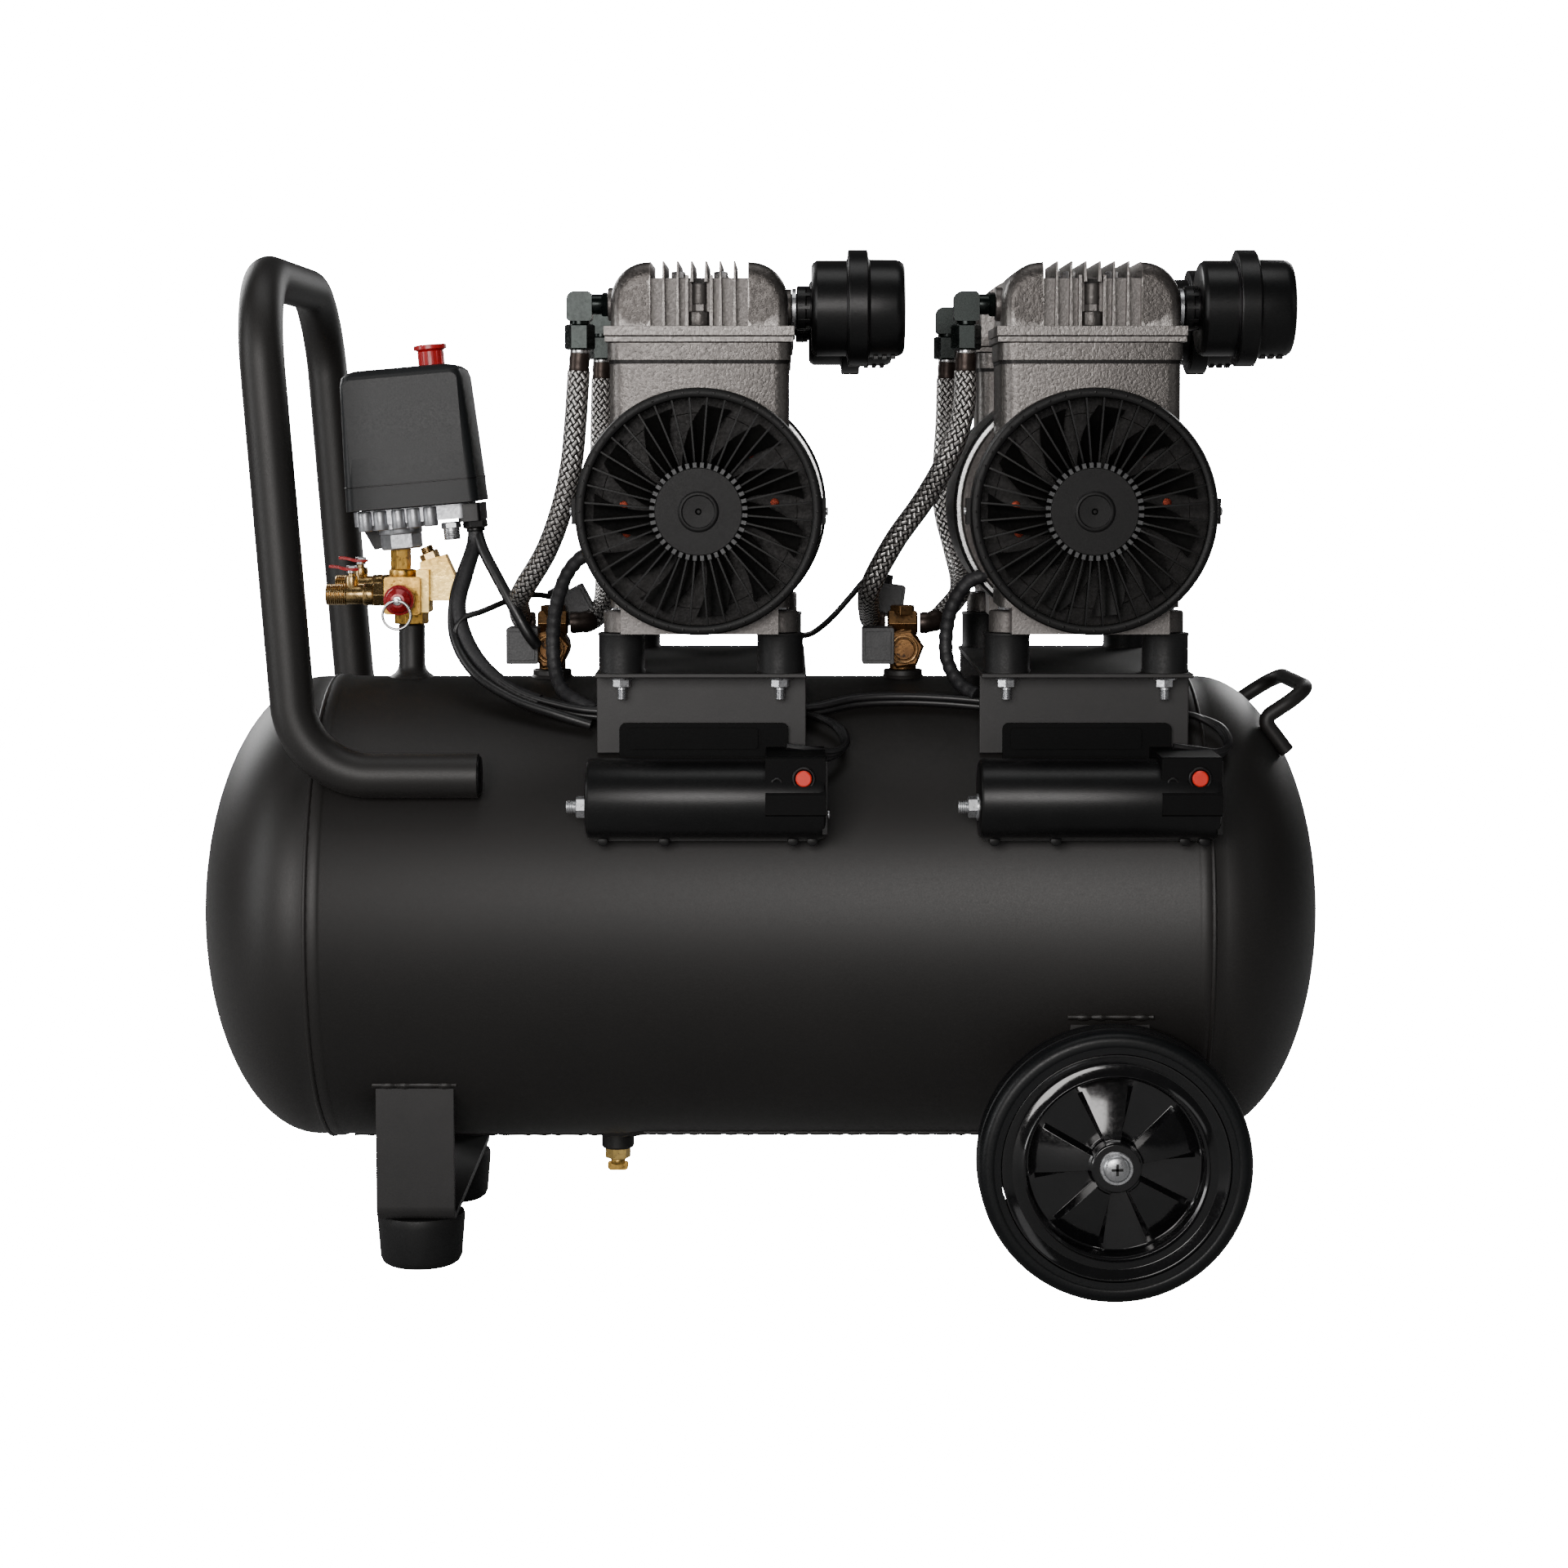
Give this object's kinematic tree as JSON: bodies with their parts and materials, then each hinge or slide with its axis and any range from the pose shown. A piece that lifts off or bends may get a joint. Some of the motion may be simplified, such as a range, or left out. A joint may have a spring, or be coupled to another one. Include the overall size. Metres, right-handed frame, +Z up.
{
  "type": "air compressor",
  "caption": "Oil-free air compressor: a horizontal air tank on feet and wheels, with direct-drive twin-piston motors, a pressure switch, outlet taps and a push handle.",
  "frame": {"origin": "on the floor, under the middle of the whole machine", "axes": "+X along the tank from the push handle to the lift handle, +Y from the side with the switches to the back, +Z up"},
  "size_m": [0.738, 0.3776, 0.6511],
  "materials": {
    "powder_coat": "matt black powder coat",
    "rubber": "moulded black rubber",
    "tyre": "satin black rubber",
    "rim_plastic": "glossy black plastic",
    "black_plastic": "satin black plastic",
    "switch_plastic": "dark slate-blue moulded plastic",
    "cable_plastic": "black cable sheath",
    "casting": "textured grey-brown casting",
    "stator_casing": "black coat",
    "motor_steel": "turned steel",
    "steel": "bright zinc-plated steel",
    "zinc": "plain die-cast zinc",
    "brass": "cast brass",
    "braid": "braided steel wire",
    "red_plastic": "red plastic"
  },
  "bodies": {
    "chassis": {"tank": "powder_coat", "push_handle": "powder_coat", "lift_handle": "powder_coat", "foot_bracket": "powder_coat", "axle_bracket": "powder_coat", "outlet_manifold": "brass", "tap_left": "brass", "safety_valve": "red_plastic", "switch_base": "zinc", "switch_cover": "switch_plastic", "wiring_harness": "cable_plastic", "foot_pad_near": "rubber", "wheel_bolt_near": "steel", "foot_pad_far": "rubber", "wheel_bolt_far": "steel", "motor_bracket_left": "powder_coat", "stator_housing_left": "stator_casing", "capacitor_box_left": "black_plastic", "check_valve_left": "brass", "crankcase_left_front": "casting", "piston_left_front": "casting", "cylinder_head_left_front": "casting", "fan_guard_left_front": "black_plastic", "air_filter_left_front": "black_plastic", "hose_left_front": "braid", "crankcase_left_rear": "casting", "piston_left_rear": "casting", "cylinder_head_left_rear": "casting", "fan_guard_left_rear": "black_plastic", "air_filter_left_rear": "black_plastic", "hose_left_rear": "braid", "motor_bracket_right": "powder_coat", "stator_housing_right": "stator_casing", "capacitor_box_right": "black_plastic", "check_valve_right": "brass", "crankcase_right_front": "casting", "piston_right_front": "casting", "cylinder_head_right_front": "casting", "fan_guard_right_front": "black_plastic", "air_filter_right_front": "black_plastic", "hose_right_front": "braid", "crankcase_right_rear": "casting", "piston_right_rear": "casting", "cylinder_head_right_rear": "casting", "fan_guard_right_rear": "black_plastic", "air_filter_right_rear": "black_plastic", "hose_right_rear": "braid"},
    "wheel_near": {"tyre_near": "tyre", "rim_near": "rim_plastic"},
    "wheel_far": {"tyre_far": "tyre", "rim_far": "rim_plastic"},
    "rotor_left": {"rotor_left": "motor_steel"},
    "rotor_right": {"rotor_right": "motor_steel"},
    "switch_knob": {"switch_knob": "red_plastic"},
    "tap_left_lever": {"tap_left_lever": "red_plastic"},
    "tap_rear_lever": {"tap_rear_lever": "red_plastic"},
    "safety_ring": {"safety_ring": "steel"},
    "drain_wing": {"drain_wing": "brass"},
    "reset_button_left": {"reset_button_left": "red_plastic"},
    "reset_button_right": {"reset_button_right": "red_plastic"}
  },
  "joints": [
    {"name": "wheel_near_spin", "type": "hinge", "parent": "chassis", "child": "wheel_near", "pos_m": [0.22, -0.168, 0.085], "axis": [0, 1, 0], "continuous": true},
    {"name": "wheel_far_spin", "type": "hinge", "parent": "chassis", "child": "wheel_far", "pos_m": [0.22, 0.168, 0.085], "axis": [0, 1, 0], "continuous": true},
    {"name": "rotor_left_spin", "type": "hinge", "parent": "chassis", "child": "rotor_left", "pos_m": [-0.037, 0, 0.4883], "axis": [0, 1, 0], "continuous": true},
    {"name": "rotor_right_spin", "type": "hinge", "parent": "chassis", "child": "rotor_right", "pos_m": [0.206, 0, 0.4883], "axis": [0, 1, 0], "continuous": true},
    {"name": "switch_knob_slide", "type": "slide", "parent": "chassis", "child": "switch_knob", "axis": [-0.0872, 0, 0.9962], "range_m": [0, 0.008]},
    {"name": "tap_left_lever_turn", "type": "hinge", "parent": "chassis", "child": "tap_left_lever", "pos_m": [-0.274, 0, 0.446], "axis": [0, 0, 1], "range_deg": [0, 90]},
    {"name": "tap_rear_lever_turn", "type": "hinge", "parent": "chassis", "child": "tap_rear_lever", "pos_m": [-0.274, 0.044, 0.45], "axis": [0, 0, -1], "range_deg": [0, 90]},
    {"name": "safety_ring_pull", "type": "slide", "parent": "chassis", "child": "safety_ring", "axis": [0, -1, 0], "range_m": [0, 0.004], "stiffness_N_per_m": 200},
    {"name": "drain_wing_turn", "type": "hinge", "parent": "chassis", "child": "drain_wing", "pos_m": [-0.097, 0, 0.0435], "axis": [0, 0, 1], "range_deg": [0, 360]},
    {"name": "reset_left_press", "type": "slide", "parent": "chassis", "child": "reset_button_left", "axis": [0, 1, 0], "range_m": [0, 0.003], "stiffness_N_per_m": 300},
    {"name": "reset_right_press", "type": "slide", "parent": "chassis", "child": "reset_button_right", "axis": [0, 1, 0], "range_m": [0, 0.003], "stiffness_N_per_m": 300}
  ]
}
